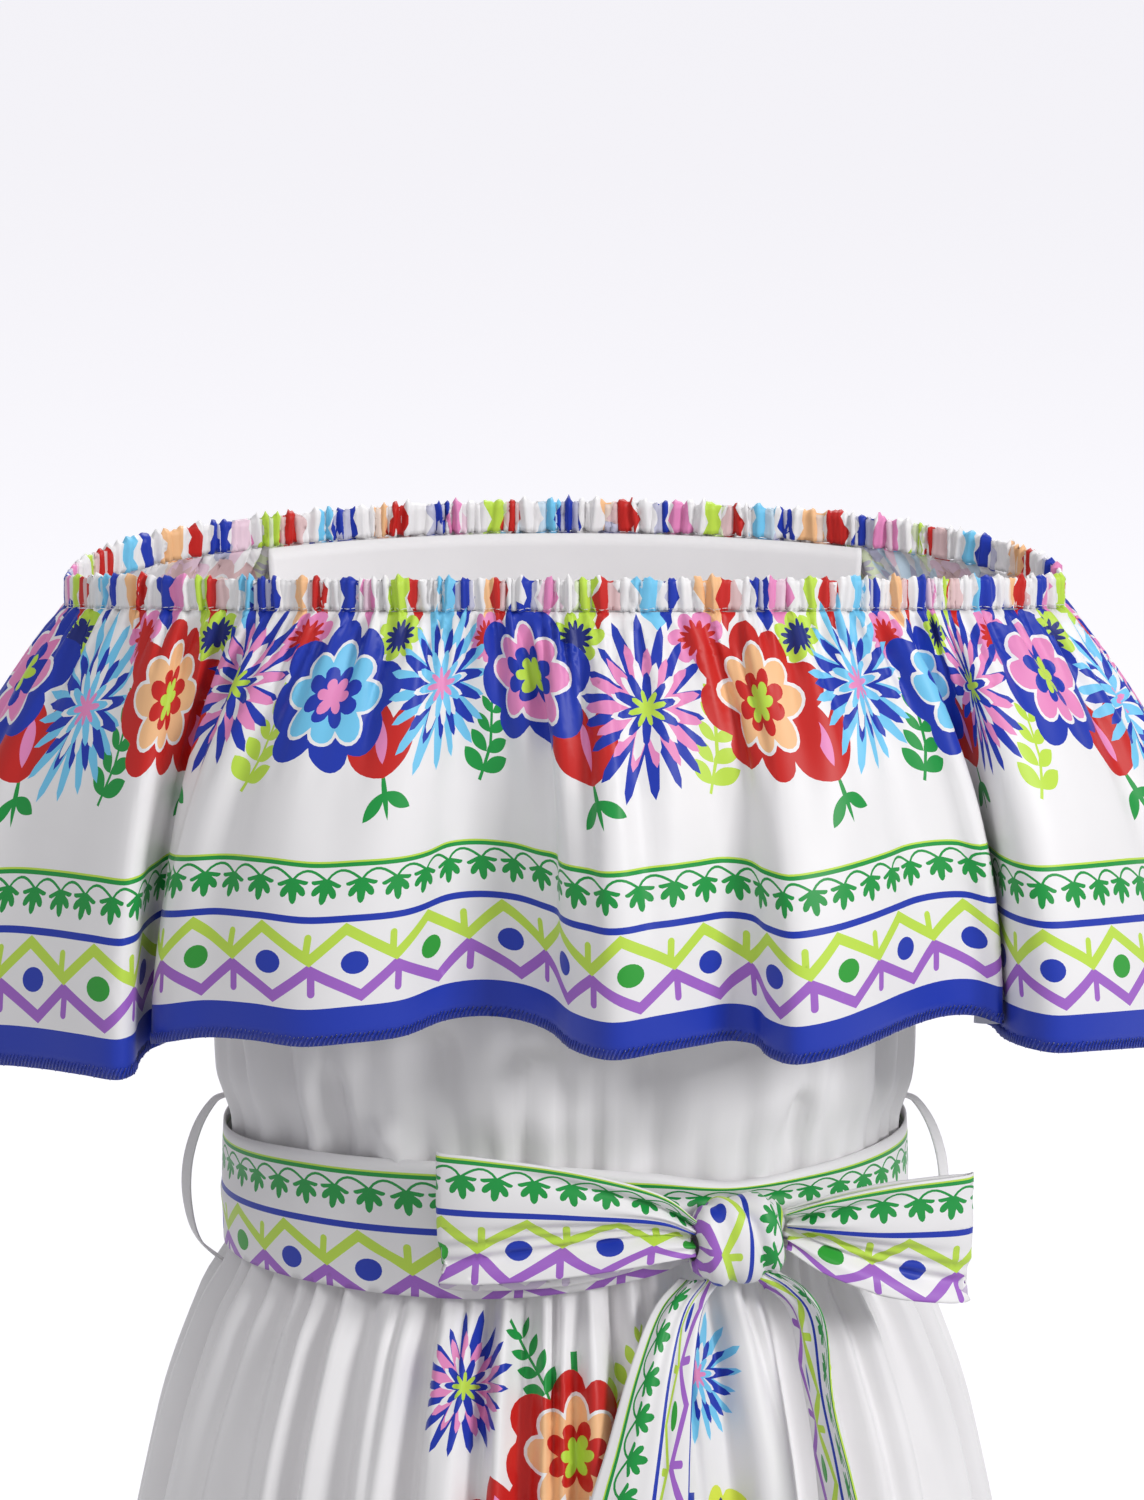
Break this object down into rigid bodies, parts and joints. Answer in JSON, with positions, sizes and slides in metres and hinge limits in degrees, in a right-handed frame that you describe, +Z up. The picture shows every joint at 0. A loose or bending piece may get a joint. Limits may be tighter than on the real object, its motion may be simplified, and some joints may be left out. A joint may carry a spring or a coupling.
{
  "type": "folk dress",
  "caption": "Off-the-shoulder folk dress: elastic neckline, deep printed flounce, plain bodice, gathered midi skirt and a printed sash tied in a bow.",
  "frame": {"origin": "middle of the neck opening, level with the top edge of the elastic casing over the upper arms, where the wearer holds the dress up", "axes": "+Z up along the body; the front faces -Y; +X is on the right of somebody who looks at the front"},
  "size_m": [0.622, 0.4936, 1.1306],
  "materials": {
    "white_satin": "smooth soft-sheen polyester",
    "printed_satin": "smooth soft-sheen polyester, printed with flowers and a border",
    "sash_satin": "smooth soft-sheen polyester, printed with a border"
  },
  "bodies": {
    "root": {"casing_front": "printed_satin", "casing_back": "printed_satin", "flounce_front": "printed_satin", "flounce_back": "printed_satin", "bodice_front": "white_satin", "bodice_back": "white_satin", "skirt_front": "white_satin", "skirt_back": "white_satin", "sash_belt": "sash_satin", "sash_knot": "sash_satin", "bow_loop_left": "sash_satin", "bow_loop_right": "sash_satin", "sash_end_left": "sash_satin", "sash_end_right": "sash_satin", "belt_carrier_left": "white_satin", "belt_carrier_right": "white_satin"}
  },
  "joints": []
}
